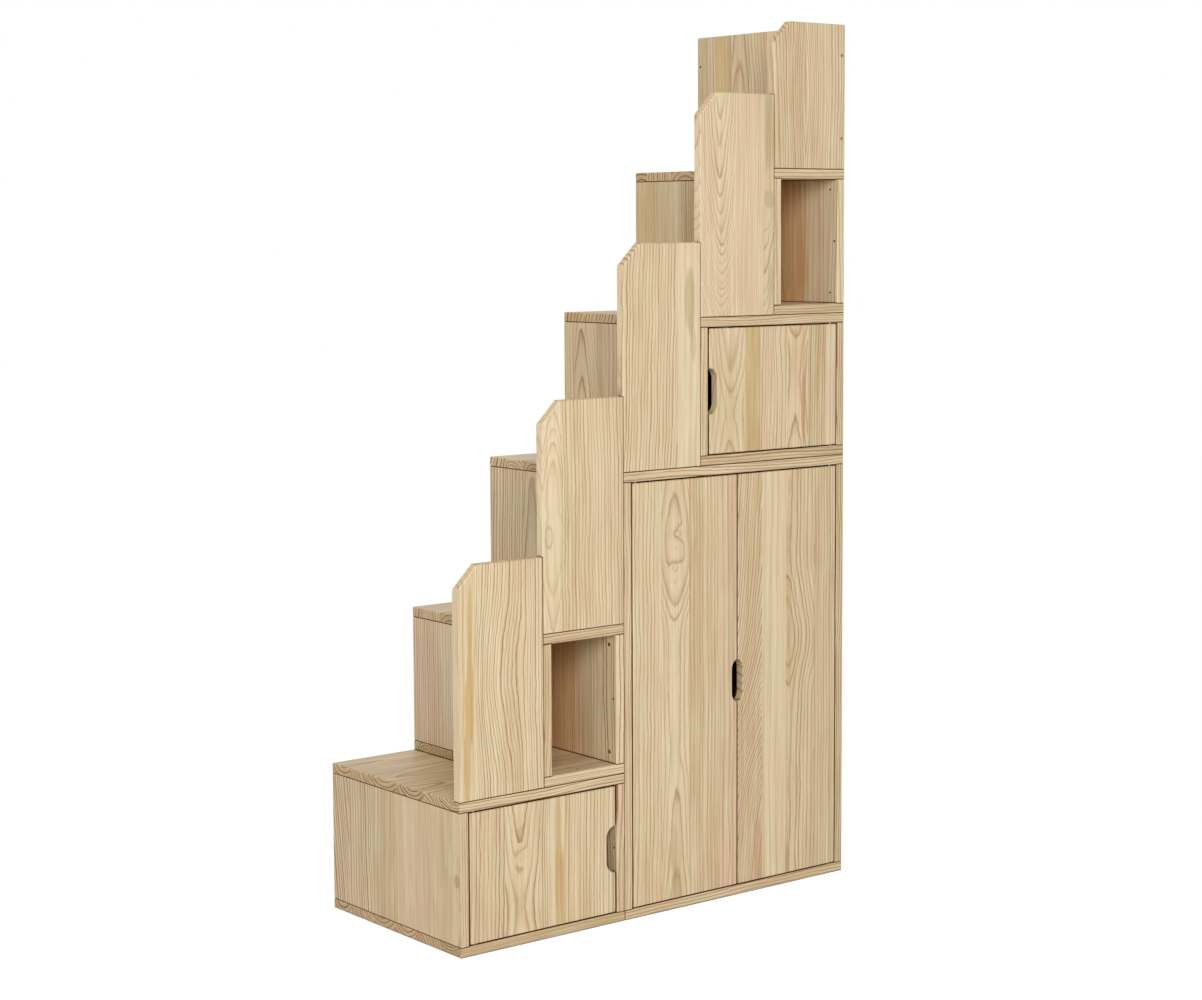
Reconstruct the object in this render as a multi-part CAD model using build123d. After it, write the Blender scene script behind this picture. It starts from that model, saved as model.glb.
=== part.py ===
from build123d import *
import os
from math import acos, cos, sin

# Stepped storage staircase in solid pine: five separate cabinet boxes are stacked
# so that their tops make five treads.  Two boxes are open niches, three have doors
# set in flush between their boards.  A front guard stands on each tread.
# X runs along the flight from the lowest tread to the highest, the front is -Y and
# Z is up.  The origin is the middle of the footprint, on the floor.

# ------------------------------------------------------------------ driving sizes, mm
STEPS = 5                  # treads in the flight
RUN = 200.0                # width of one tread along X
RISE = 300.0               # height of one step
DEPTH = 450.0              # front to back
BOARD = 20.0               # thickness of every solid board
EASE = 1.5                 # arris taken off every board edge

GUARD_OVER_STEP = 150.0    # how far a front guard rises above the next tread
TOP_GUARD_HEIGHT = 300.0   # height of the last guard and of the end board
GUARD_CORNER = 45.0        # bevel at a guard's upper corner

BACK_PANEL = 5.0           # plywood back, let in flush
BACK_LAP = 8.0             # how far the back reaches over each board
BACK_FIT = 0.5             # play of the back in its rebate

GAP_HINGE = 3.0            # door to side board, hinge side
GAP_FREE = 4.0             # door to side board, opening side
GAP_MEETING = 3.0          # between a pair of doors
GAP_TOP = 3.0              # door to the board above
GAP_BOTTOM = 2.5           # door to the board below

NOTCH_STRAIGHT = 50.0      # straight bottom of a finger notch
NOTCH_ARC = 21.5           # radius of its two ends
NOTCH_DEPTH = 21.5         # cut into a single door
NOTCH_DEPTH_PAIR = 13.0    # cut into each door of a pair
NOTCH_MOUTH = 4.0          # rounding where the notch meets the door's edge

PIVOT_INSET = 12.0         # pivot pin centre from the door's hinge edge
PIVOT_SETBACK = 8.0        # pivot pin centre from the door's front face
PIN_RADIUS = 3.0
PIN_IN_DOOR = 25.0
PIN_IN_BOARD = 10.0
COLLAR_RADIUS = 5.5        # collar that carries the door on its lower bush
BUSH_RADIUS = 5.0
BUSH_LENGTH = 12.0
FLANGE_RADIUS = 7.0
FLANGE = 1.0
RUNNING_FIT = 0.05         # pin in bush, radial
PRESS_FIT = 0.02           # pressed and glued pieces, each side
HOLE_END_PLAY = 0.5        # a blind hole is this much deeper than its pin or screw

CATCH_WIDTH = 30.0         # magnet block between its two ears
CATCH_DEPTH = 15.0
CATCH_HEIGHT = 14.0
CATCH_EAR = 8.0
CATCH_EAR_THICKNESS = 4.0
CATCH_INSET = 60.0         # catch centre from the door's opening edge
CATCH_GAP = 0.3            # air between the poles and the strike plate
POLE = 1.2                 # thickness of a pole plate
POLE_PROUD = 0.7           # how far it stands out of the block
POLE_SPACING = 8.0         # between the two pole plates
POLE_WIDTH = 24.0
STRIKE = 1.0               # strike plate on the door
STRIKE_WIDTH = 38.0
STRIKE_HEIGHT = 12.0
STRIKE_DROP = 1.5          # strike plate below the door's top edge

TENON_THICKNESS = 8.0      # loose tenons between board and board
TENON_WIDTH = 22.0
TENON_IN_FACE = 12.0       # depth in the face of a board
TENON_IN_END = 24.0        # depth in the end or edge of a board
TENON_END_PLAY = 0.5       # room for glue past each end
TENON_INSET = 60.0         # tenon centre from the front and back of the box
END_TENON_INSET = 110.0    # under the end board, from its two edges
GUARD_TENON_SPACING = 60.0 # between the two tenons under a guard

FIXING_RADIUS = 2.5        # through hole in a side board
FIXING_SPREAD = 108.0      # joining holes above and below the middle of a one-step box
FIXING_INSET = 23.0        # joining holes and screws from the front edge
SCREW_RADIUS = 2.0
SCREW_HEAD_RADIUS = 4.2
SCREW_HEAD_HEIGHT = 2.4
JOINING_GRIP = 14.0        # how far a screw enters the second board
GUARD_GRIP = 28.0          # how far a screw enters a guard's edge
HEAD_FIT = 0.1             # room around a screw's head
END_SCREW_SPREAD = 86.0    # above and below the middle of the end board
END_HOLE_INSET = 10.0      # hole in the end board from its back edge

SHELF_RISE = 300.0         # top of the loose shelf above the floor
SHELF_FIT = 1.0            # play of the loose shelf at each side
SHELF_BEHIND_DOOR = 12.0
SHELF_BEFORE_BACK = 3.0
SHELF_PIN_RADIUS = 2.5
SHELF_PIN_DEPTH = 9.0
SHELF_PIN_INSET = 60.0     # from the front and back edges of the box
SHELF_REST_LENGTH = 8.0    # block under the shelf
SHELF_REST_WIDTH = 9.0
SHELF_REST_HEIGHT = 7.0

SAME_PLACE = 0.01          # two points nearer than this count as one

FRONT = -DEPTH / 2
BACK = DEPTH / 2
PIVOT_Y = FRONT + PIVOT_SETBACK
DOOR_BACK = FRONT + BOARD


# ------------------------------------------------------------------ the stack
def step_x(steps):
    """X after so many treads, from the low end."""
    return (steps - STEPS / 2) * RUN


def tread_z(rises):
    """Height after so many steps."""
    return rises * RISE


class Cabinet:
    """One box of the stack, given by the treads and rises that it spans."""

    def __init__(self, name, treads, rises):
        self.name = name
        self.left = step_x(treads[0])
        self.right = step_x(treads[1])
        self.floor = tread_z(rises[0])
        self.ceiling = tread_z(rises[1])
        self.inner_left = self.left + BOARD
        self.inner_right = self.right - BOARD
        self.inner_floor = self.floor + BOARD
        self.inner_ceiling = self.ceiling - BOARD
        self.middle_x = (self.left + self.right) / 2
        self.levels = [tread_z(rise + 0.5) for rise in range(*rises)]


LOW = Cabinet("low", (0, 2), (0, 1))
LOWER_NICHE = Cabinet("lower_niche", (1, 2), (1, 2))
TALL = Cabinet("tall", (2, 5), (0, 3))
UPPER = Cabinet("upper", (3, 5), (3, 4))
UPPER_NICHE = Cabinet("upper_niche", (4, 5), (4, 5))
CABINETS = [LOW, LOWER_NICHE, TALL, UPPER, UPPER_NICHE]


class Door:
    """One flush door: its outline, its hinge side and its finger notch."""

    def __init__(self, name, cabinet, left, right, hinge_left, notch_depth):
        self.name = name
        self.cabinet = cabinet
        self.left = left
        self.right = right
        self.bottom = cabinet.inner_floor + GAP_BOTTOM
        self.top = cabinet.inner_ceiling - GAP_TOP
        self.notch_depth = notch_depth
        self.notch_z = (cabinet.floor + cabinet.ceiling) / 2
        self.free_edge = right if hinge_left else left
        self.inward = -1 if hinge_left else 1
        self.hinge_edge = left if hinge_left else right
        self.pivot_x = self.hinge_edge - self.inward * PIVOT_INSET
        self.catch_x = self.free_edge + self.inward * CATCH_INSET


DOOR_LOW = Door("low", LOW, LOW.inner_left + GAP_HINGE, LOW.inner_right - GAP_FREE,
                True, NOTCH_DEPTH)
DOOR_TALL_LEFT = Door("tall_left", TALL, TALL.inner_left + GAP_HINGE,
                      TALL.middle_x - GAP_MEETING / 2, True, NOTCH_DEPTH_PAIR)
DOOR_TALL_RIGHT = Door("tall_right", TALL, TALL.middle_x + GAP_MEETING / 2,
                       TALL.inner_right - GAP_HINGE, False, NOTCH_DEPTH_PAIR)
DOOR_UPPER = Door("upper", UPPER, UPPER.inner_left + GAP_FREE,
                  UPPER.inner_right - GAP_HINGE, False, NOTCH_DEPTH)
DOORS = [DOOR_LOW, DOOR_TALL_LEFT, DOOR_TALL_RIGHT, DOOR_UPPER]


# ------------------------------------------------------------------ basic solids
def block(low, high):
    """Plain box between two opposite corners."""
    size = [b - a for a, b in zip(low, high)]
    middle = [(a + b) / 2 for a, b in zip(low, high)]
    return Pos(*middle) * Box(*size)


def eased(low, high):
    """Planed board between two opposite corners, with the arris off every edge."""
    board = block(low, high)
    return chamfer(board.edges(), EASE)


def rod(start, direction, length, radius):
    """Cylinder from a point along a direction."""
    return extrude(Plane(start, z_dir=direction) * Circle(radius), length)


def turned(start, direction, profile):
    """Turned piece: stations of (distance, radius) along a direction from a point."""
    ends = [(0, profile[0][0]), (0, profile[-1][0])]
    outline = [ends[0]] + [(radius, distance) for distance, radius in profile] + [ends[1]]
    half = make_face(Polyline(*outline, close=True))
    return Plane(start, z_dir=direction) * revolve(Plane.XZ * half, Axis.Z)


def meets(box_a, box_b):
    """True where two bounding boxes share room."""
    low_a, high_a, low_b, high_b = box_a.min, box_a.max, box_b.min, box_b.max
    pairs = [(low_a.X, high_a.X, low_b.X, high_b.X), (low_a.Y, high_a.Y, low_b.Y, high_b.Y),
             (low_a.Z, high_a.Z, low_b.Z, high_b.Z)]
    return all(a0 < b1 and b0 < a1 for a0, a1, b0, b1 in pairs)


def drilled(board, holes):
    """A board less those holes that reach into it."""
    room = board.bounding_box()
    near = [hole for hole in holes if meets(room, hole.bounding_box())]
    return board - near if near else board


# ------------------------------------------------------------------ loose tenons
class Tenon:
    """Loose tenon over the joint of two boards: its middle on the joint, its sizes."""

    def __init__(self, x, y, z, into_end, across):
        self.place = (x, y, z)
        self.into_end = into_end
        self.size_x, self.size_y = across

    def solid(self, room, end_play):
        """The tenon, or with room and end play its mortise in both boards."""
        x, y, z = self.place
        reach_x = self.size_x / 2 - PRESS_FIT + room
        reach_y = self.size_y / 2 - PRESS_FIT + room
        ends = sorted((z - self.into_end * (TENON_IN_FACE + end_play),
                       z + self.into_end * (TENON_IN_END + end_play)))
        return block((x - reach_x, y - reach_y, ends[0]), (x + reach_x, y + reach_y, ends[1]))

    def tenon(self):
        return self.solid(0, 0)

    def mortise(self):
        return self.solid(PRESS_FIT, TENON_END_PLAY)


def carcase_tenons(cabinet):
    """Tenons where the side boards stand between floor and top board."""
    tenons = []
    across = (TENON_THICKNESS, TENON_WIDTH)
    for x in (cabinet.left + BOARD / 2, cabinet.right - BOARD / 2):
        for y in (FRONT + TENON_INSET, BACK - TENON_INSET):
            tenons.append(Tenon(x, y, cabinet.inner_floor, 1, across))
            tenons.append(Tenon(x, y, cabinet.inner_ceiling, -1, across))
    return tenons


def guard_tenons():
    """Tenons under the front guards and under the end board."""
    tenons = []
    for step in range(STEPS):
        for side in (-1, 1):
            x = step_x(step + 0.5) + side * GUARD_TENON_SPACING / 2
            tenons.append(Tenon(x, FRONT + BOARD / 2, tread_z(step + 1), 1,
                                (TENON_WIDTH, TENON_THICKNESS)))
    for y in (FRONT + BOARD + END_TENON_INSET, BACK - END_TENON_INSET):
        tenons.append(Tenon(step_x(STEPS) - BOARD / 2, y, tread_z(STEPS), 1,
                            (TENON_THICKNESS, TENON_WIDTH)))
    return tenons


# ------------------------------------------------------------------ screws
def joining_screws():
    """Head place and direction of each screw that ties one box to the next."""
    y = FRONT + FIXING_INSET
    places = []
    for cabinet in (LOW, LOWER_NICHE):
        places += [((cabinet.inner_right, y, z), (1, 0, 0)) for z in fixing_heights(cabinet)]
    for cabinet in (LOWER_NICHE, UPPER, UPPER_NICHE):
        places.append(((cabinet.middle_x, y, cabinet.inner_floor), (0, 0, -1)))
    return places


def guard_screws():
    """Head place and direction of each screw that holds a guard's edge."""
    neighbours = [LOWER_NICHE, TALL, UPPER, UPPER_NICHE]
    y = FRONT + BOARD / 2
    return [((cabinet.inner_left, y, cabinet.levels[-1]), (-1, 0, 0)) for cabinet in neighbours]


def end_board_screws():
    """Head place and direction of the two screws through the last guard."""
    middle = tread_z(STEPS) + TOP_GUARD_HEIGHT / 2
    x = step_x(STEPS) - BOARD / 2
    return [((x, FRONT, middle + side * END_SCREW_SPREAD), (0, 1, 0)) for side in (-1, 1)]


def screw(place, grip):
    """Countersunk wood screw, head flush, through one board and into the next."""
    head, direction = place
    radius = SCREW_RADIUS - PRESS_FIT
    profile = [(HEAD_FIT, SCREW_HEAD_RADIUS), (HEAD_FIT + SCREW_HEAD_HEIGHT, radius),
               (BOARD + grip, radius)]
    return turned(head, direction, profile)


def screw_hole(place, grip):
    """Countersunk clearance hole in the first board and pilot hole in the next."""
    head, direction = place
    cone_end = HEAD_FIT + SCREW_HEAD_HEIGHT
    profile = [(0, SCREW_HEAD_RADIUS + HEAD_FIT), (cone_end, FIXING_RADIUS),
               (BOARD, FIXING_RADIUS), (BOARD, SCREW_RADIUS),
               (BOARD + grip + HOLE_END_PLAY, SCREW_RADIUS)]
    return turned(head, direction, profile)


def fixing_heights(cabinet):
    """Heights of the two joining holes of a box that is one step high."""
    return [cabinet.levels[0] + side * FIXING_SPREAD for side in (-1, 1)]


def fixing_holes(cabinet, outer_x):
    """Through holes of a side board: for a guard, and in a one-step box for joining.

    The outermost board at the low end joins nothing and has none.
    """
    if outer_x == step_x(0):
        return []
    places = [(FRONT + BOARD / 2, cabinet.levels[-1])]
    if len(cabinet.levels) == 1:
        places += [(FRONT + FIXING_INSET, z) for z in fixing_heights(cabinet)]
    return [rod((outer_x, y, z), (1, 0, 0), BOARD, FIXING_RADIUS) for y, z in places]


# ------------------------------------------------------------------ pivot hinges
def lower_pin(door):
    """Steel pin in the door's foot, with the collar that the door stands on."""
    foot = door.cabinet.inner_floor - PIN_IN_BOARD
    collar = door.cabinet.inner_floor + FLANGE
    pin = rod((door.pivot_x, PIVOT_Y, foot), (0, 0, 1), door.bottom + PIN_IN_DOOR - foot, PIN_RADIUS)
    return pin + rod((door.pivot_x, PIVOT_Y, collar), (0, 0, 1), door.bottom - collar, COLLAR_RADIUS)


def upper_pin(door):
    """Steel pin in the door's head."""
    foot = door.top - PIN_IN_DOOR
    head = door.cabinet.inner_ceiling + PIN_IN_BOARD
    return rod((door.pivot_x, PIVOT_Y, foot), (0, 0, 1), head - foot, PIN_RADIUS)


def pin_holes(door):
    """The two holes in a door for its pins."""
    x = door.pivot_x
    depth = PIN_IN_DOOR + HOLE_END_PLAY
    radius = PIN_RADIUS + PRESS_FIT
    return [rod((x, PIVOT_Y, door.bottom), (0, 0, 1), depth, radius),
            rod((x, PIVOT_Y, door.top), (0, 0, -1), depth, radius)]


def bush_places(door):
    """Where a door's two bushes sit, and which way each goes into its board."""
    x = door.pivot_x
    return [((x, PIVOT_Y, door.cabinet.inner_floor), (0, 0, -1)),
            ((x, PIVOT_Y, door.cabinet.inner_ceiling), (0, 0, 1))]


def bush(place):
    """Nylon bush with a bore for the pin; the lower one has a flange for the collar."""
    face, into_board = place
    sleeve = rod(face, into_board, BUSH_LENGTH, BUSH_RADIUS - PRESS_FIT)
    if into_board[2] < 0:
        sleeve += rod(face, (0, 0, 1), FLANGE, FLANGE_RADIUS)
    start = Vector(*face) - Vector(*into_board) * FLANGE
    return sleeve - rod(start, into_board, FLANGE + BUSH_LENGTH, PIN_RADIUS + RUNNING_FIT)


def bush_hole(place):
    """Blind hole in a board for one bush."""
    face, into_board = place
    return rod(face, into_board, BUSH_LENGTH, BUSH_RADIUS)


# ------------------------------------------------------------------ boards
CARCASE_HOLES = {
    cabinet.name: [tenon.mortise() for tenon in carcase_tenons(cabinet)]
    for cabinet in CABINETS
}
GUARD_HOLES = [tenon.mortise() for tenon in guard_tenons()]
SCREW_HOLES = [screw_hole(place, JOINING_GRIP) for place in joining_screws()]
SCREW_HOLES += [screw_hole(place, GUARD_GRIP) for place in guard_screws() + end_board_screws()]
BUSH_HOLES = [bush_hole(place) for door in DOORS for place in bush_places(door)]


def back_rebate(cabinet):
    """Room that is cut from the four boards for the back panel."""
    return block((cabinet.inner_left - BACK_LAP, BACK - BACK_PANEL, cabinet.inner_floor - BACK_LAP),
                 (cabinet.inner_right + BACK_LAP, BACK, cabinet.inner_ceiling + BACK_LAP))


def back_panel(cabinet):
    """Thin plywood back, a little smaller than its rebate."""
    lap = BACK_LAP - BACK_FIT
    return block((cabinet.inner_left - lap, BACK - BACK_PANEL, cabinet.inner_floor - lap),
                 (cabinet.inner_right + lap, BACK, cabinet.inner_ceiling + lap))


def level_board(cabinet, z):
    """Floor or top board of a box, over its whole width."""
    board = eased((cabinet.left, FRONT, z), (cabinet.right, BACK, z + BOARD))
    holes = [back_rebate(cabinet)] + CARCASE_HOLES[cabinet.name]
    return drilled(board, holes + GUARD_HOLES + SCREW_HOLES + BUSH_HOLES)


def side_board(cabinet, x):
    """Side board, standing between floor and top board."""
    board = eased((x, FRONT, cabinet.inner_floor), (x + BOARD, BACK, cabinet.inner_ceiling))
    holes = [back_rebate(cabinet)] + CARCASE_HOLES[cabinet.name] + fixing_holes(cabinet, x)
    if cabinet is TALL:
        holes += shelf_pin_holes()
    return drilled(board, holes + SCREW_HOLES)


def guard(step):
    """Front guard on a tread, its upper corner cut off on the way up."""
    left, right = step_x(step), step_x(step + 1)
    foot = tread_z(step + 1)
    last = step == STEPS - 1
    head = foot + (TOP_GUARD_HEIGHT if last else RISE + GUARD_OVER_STEP)
    corners = [(left, foot), (right, foot), (right, head), (left + GUARD_CORNER, head),
               (left, head - GUARD_CORNER)]
    outline = Plane.XZ.offset(-DOOR_BACK) * make_face(Polyline(*corners, close=True))
    board = extrude(outline, BOARD)
    return drilled(chamfer(board.edges(), EASE), GUARD_HOLES + SCREW_HOLES)


def end_board():
    """Board across the open end of the last tread, behind the last guard."""
    right = step_x(STEPS)
    foot = tread_z(STEPS)
    board = eased((right - BOARD, FRONT + BOARD, foot), (right, BACK, foot + TOP_GUARD_HEIGHT))
    middle = foot + TOP_GUARD_HEIGHT / 2
    rear_holes = [rod((right - BOARD, BACK - END_HOLE_INSET, middle + side * END_SCREW_SPREAD),
                      (1, 0, 0), BOARD, FIXING_RADIUS) for side in (-1, 1)]
    return drilled(board, GUARD_HOLES + SCREW_HOLES + rear_holes)


# ------------------------------------------------------------------ doors
def notch_face(edge_x, inward, middle_z, depth):
    """Finger notch: a straight bottom and two arcs that run out to the door's edge."""
    turn = acos(max(-1.0, 1 - depth / NOTCH_ARC))
    half = NOTCH_STRAIGHT / 2

    def end_point(angle, side):
        into = depth - NOTCH_ARC * (1 - cos(angle))
        along = half + NOTCH_ARC * sin(angle)
        return (edge_x + inward * into, middle_z + side * along)

    arcs = [ThreePointArc(end_point(0, side), end_point(turn / 2, side), end_point(turn, side))
            for side in (-1, 1)]
    bottom = Line(end_point(0, -1), end_point(0, 1))
    mouth = Line(end_point(turn, 1), end_point(turn, -1))
    return make_face([arcs[0], bottom, arcs[1], mouth])


def door_board(door):
    """Door blank with its notch, its outline rounded and its arrises off."""
    blank = make_face(Polyline((door.left, door.bottom), (door.right, door.bottom),
                               (door.right, door.top), (door.left, door.top), close=True))
    notch = notch_face(door.free_edge, door.inward, door.notch_z, door.notch_depth)
    outline = blank - notch
    corners = [v for v in outline.vertices()
               if min(abs(v.Y - door.bottom), abs(v.Y - door.top)) < SAME_PLACE]
    outline = chamfer(corners, EASE)
    on_free_edge = [v for v in outline.vertices() if abs(v.X - door.free_edge) < SAME_PLACE]
    mouth = sorted(on_free_edge, key=lambda v: abs(v.Y - door.notch_z))[:2]
    outline = fillet(mouth, NOTCH_MOUTH)
    board = extrude(Plane.XZ.offset(-DOOR_BACK) * outline, BOARD)
    rims = board.faces().filter_by(Axis.Y).edges()
    return drilled(chamfer(rims, EASE), pin_holes(door))


def strike_plate(door):
    """Steel plate on the door's inner face, that the magnet holds."""
    top = door.top - STRIKE_DROP
    plate = block((door.catch_x - STRIKE_WIDTH / 2, DOOR_BACK, top - STRIKE_HEIGHT),
                  (door.catch_x + STRIKE_WIDTH / 2, DOOR_BACK + STRIKE, top))
    return chamfer(plate.edges().filter_by(Axis.Y), STRIKE)


def magnet_catch(door):
    """Catch under the top board: a block with an ear at each end for its screws."""
    front = DOOR_BACK + STRIKE + CATCH_GAP + POLE_PROUD
    ceiling = door.cabinet.inner_ceiling
    body = block((door.catch_x - CATCH_WIDTH / 2, front, ceiling - CATCH_HEIGHT),
                 (door.catch_x + CATCH_WIDTH / 2, front + CATCH_DEPTH, ceiling))
    reach = CATCH_WIDTH / 2 + CATCH_EAR
    ears = block((door.catch_x - reach, front, ceiling - CATCH_EAR_THICKNESS),
                 (door.catch_x + reach, front + CATCH_DEPTH, ceiling))
    return body + ears


def catch_middle(door):
    """Height of the middle of the magnet."""
    return door.cabinet.inner_ceiling - CATCH_HEIGHT / 2


def pole_plates(door):
    """The two steel poles that stand a little proud of the magnet block."""
    back = DOOR_BACK + STRIKE + CATCH_GAP + POLE_PROUD
    plates = []
    for side in (-1, 1):
        z = catch_middle(door) + side * POLE_SPACING / 2
        plates.append(block((door.catch_x - POLE_WIDTH / 2, back - POLE_PROUD, z - POLE / 2),
                            (door.catch_x + POLE_WIDTH / 2, back, z + POLE / 2)))
    return plates


# ------------------------------------------------------------------ loose shelf
SHELF_TOP = TALL.floor + SHELF_RISE


def shelf():
    """Loose shelf one step up in the tall box."""
    return eased((TALL.inner_left + SHELF_FIT, DOOR_BACK + SHELF_BEHIND_DOOR, SHELF_TOP - BOARD),
                 (TALL.inner_right - SHELF_FIT, BACK - BACK_PANEL - SHELF_BEFORE_BACK, SHELF_TOP))


def shelf_pin_places():
    """Pin holes of both side boards: point and direction."""
    z = SHELF_TOP - BOARD - SHELF_REST_HEIGHT / 2
    places = []
    for x, direction in ((TALL.inner_left, (-1, 0, 0)), (TALL.inner_right, (1, 0, 0))):
        for y in (FRONT + SHELF_PIN_INSET, BACK - SHELF_PIN_INSET):
            places.append(((x, y, z), direction))
    return places


def shelf_pin_holes():
    """The four holes for the shelf's pins."""
    return [rod(point, direction, SHELF_PIN_DEPTH, SHELF_PIN_RADIUS)
            for point, direction in shelf_pin_places()]


def shelf_pin(point, direction):
    """Pin with a flat-topped block that the shelf lies on."""
    x, y, z = point
    out = -direction[0]
    peg = rod(point, direction, SHELF_PIN_DEPTH - HOLE_END_PLAY, SHELF_PIN_RADIUS - PRESS_FIT)
    low_x, high_x = sorted((x, x + out * SHELF_REST_LENGTH))
    rest = block((low_x, y - SHELF_REST_WIDTH / 2, z - SHELF_REST_HEIGHT / 2),
                 (high_x, y + SHELF_REST_WIDTH / 2, z + SHELF_REST_HEIGHT / 2))
    return peg + rest


# ------------------------------------------------------------------ all pieces
def make_pieces():
    """Every piece by its name; a group of like fasteners is a list of solids."""
    pieces = {}
    for cabinet in CABINETS:
        name = cabinet.name
        pieces[name + "_floor"] = level_board(cabinet, cabinet.floor)
        pieces[name + "_top"] = level_board(cabinet, cabinet.inner_ceiling)
        pieces[name + "_side_left"] = side_board(cabinet, cabinet.left)
        pieces[name + "_side_right"] = side_board(cabinet, cabinet.inner_right)
        pieces[name + "_back"] = back_panel(cabinet)
        pieces[name + "_tenons"] = [tenon.tenon() for tenon in carcase_tenons(cabinet)]
    for step in range(STEPS):
        pieces["guard_" + str(step + 1)] = guard(step)
    pieces["end_board"] = end_board()
    pieces["guard_tenons"] = [tenon.tenon() for tenon in guard_tenons()]
    pieces["joining_screws"] = [screw(place, JOINING_GRIP) for place in joining_screws()]
    pieces["guard_screws"] = [screw(place, GUARD_GRIP) for place in guard_screws()]
    pieces["end_board_screws"] = [screw(place, GUARD_GRIP) for place in end_board_screws()]
    for door in DOORS:
        pieces["door_" + door.name] = door_board(door)
        pieces["pivot_pins_" + door.name] = [lower_pin(door), upper_pin(door)]
        pieces["strike_plate_" + door.name] = strike_plate(door)
    pieces["pivot_bushes"] = [bush(place) for door in DOORS for place in bush_places(door)]
    pieces["magnet_catches"] = [magnet_catch(door) for door in DOORS]
    pieces["catch_poles"] = [plate for door in DOORS for plate in pole_plates(door)]
    pieces["tall_shelf"] = shelf()
    pieces["shelf_pins"] = [shelf_pin(*place) for place in shelf_pin_places()]
    return pieces


os.makedirs("parts", exist_ok=True)
for piece_name, piece in make_pieces().items():
    solid = Compound(piece) if isinstance(piece, list) else piece
    export_step(solid, "parts/" + piece_name + ".step")
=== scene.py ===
# %% [markdown]
# # A pine staircase of boxes, dressed for a picture
# The construction already exists as solids: five boxes, their doors, guards and fittings.
# This notebook loads them as a fixed frame and gives every piece its finish. Nothing is
# moved or resized, because each piece already lies where the joiner put it.

# %% Load the frame
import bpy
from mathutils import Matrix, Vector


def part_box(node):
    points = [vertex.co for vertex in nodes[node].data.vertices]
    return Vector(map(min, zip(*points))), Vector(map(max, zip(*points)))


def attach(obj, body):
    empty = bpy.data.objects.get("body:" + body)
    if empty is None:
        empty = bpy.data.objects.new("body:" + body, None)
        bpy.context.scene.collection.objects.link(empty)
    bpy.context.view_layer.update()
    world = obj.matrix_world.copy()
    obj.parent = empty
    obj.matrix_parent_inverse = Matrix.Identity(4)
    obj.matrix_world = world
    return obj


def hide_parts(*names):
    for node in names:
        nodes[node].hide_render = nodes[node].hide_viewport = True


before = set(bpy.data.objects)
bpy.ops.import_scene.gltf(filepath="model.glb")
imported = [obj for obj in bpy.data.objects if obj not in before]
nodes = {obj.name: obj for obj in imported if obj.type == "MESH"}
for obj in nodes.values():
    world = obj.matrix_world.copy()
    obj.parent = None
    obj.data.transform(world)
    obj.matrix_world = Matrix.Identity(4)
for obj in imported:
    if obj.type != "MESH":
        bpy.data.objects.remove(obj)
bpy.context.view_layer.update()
print("pieces loaded:", len(nodes))

# %% [markdown]
# ## Tools for the whole lesson
# A shader is a sum of simple patterns. Blender writes it as a web of nodes, which is hard
# to read back, so one small class wraps a socket and lets the sums be written as Python.
# Everything is in metres, and colours are written as they look on a screen.

# %% Imports and small helpers
import math
import random

import bmesh
import bpy
from mathutils import Matrix, Vector

MM = 0.001
X, Y, Z = 0, 1, 2


def screen(red, green, blue):
    """A colour as seen on a screen, 0 to 255, turned into light."""
    def light(value):
        value /= 255
        return value / 12.92 if value <= 0.04045 else ((value + 0.055) / 1.055) ** 2.4
    return (light(red), light(green), light(blue), 1.0)


def new_object(name, data):
    """An object in the scene that shows this data."""
    thing = bpy.data.objects.new(name, data)
    bpy.context.scene.collection.objects.link(thing)
    return thing


# %% Shader sums as Python
class Num:
    """A number that varies over a surface: one output socket of a node."""

    def __init__(self, sheet, socket):
        self.sheet = sheet
        self.socket = socket

    def sum(self, operation, *others):
        """One Math node, on this number and the others."""
        values = dict(enumerate((self,) + others))
        return self.sheet.node("ShaderNodeMath", {"operation": operation}, values)

    def __add__(self, other):
        return self.sum("ADD", other)

    def __sub__(self, other):
        return self.sum("SUBTRACT", other)

    def __rsub__(self, other):
        return (self * -1.0) + other

    def __mul__(self, other):
        return self.sum("MULTIPLY", other)

    def __truediv__(self, other):
        return self.sum("DIVIDE", other)

    def __abs__(self):
        return self.sum("ABSOLUTE")

    __radd__ = __add__
    __rmul__ = __mul__

    def root(self):
        return self.sum("SQRT")

    def part(self):
        return self.sum("FRACT")

    def between(self, low, high):
        """0 below low, 1 above high, smooth between."""
        settings = {"interpolation_type": "SMOOTHSTEP"}
        return self.sheet.node("ShaderNodeMapRange", settings, {0: self, 1: low, 2: high})


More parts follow.
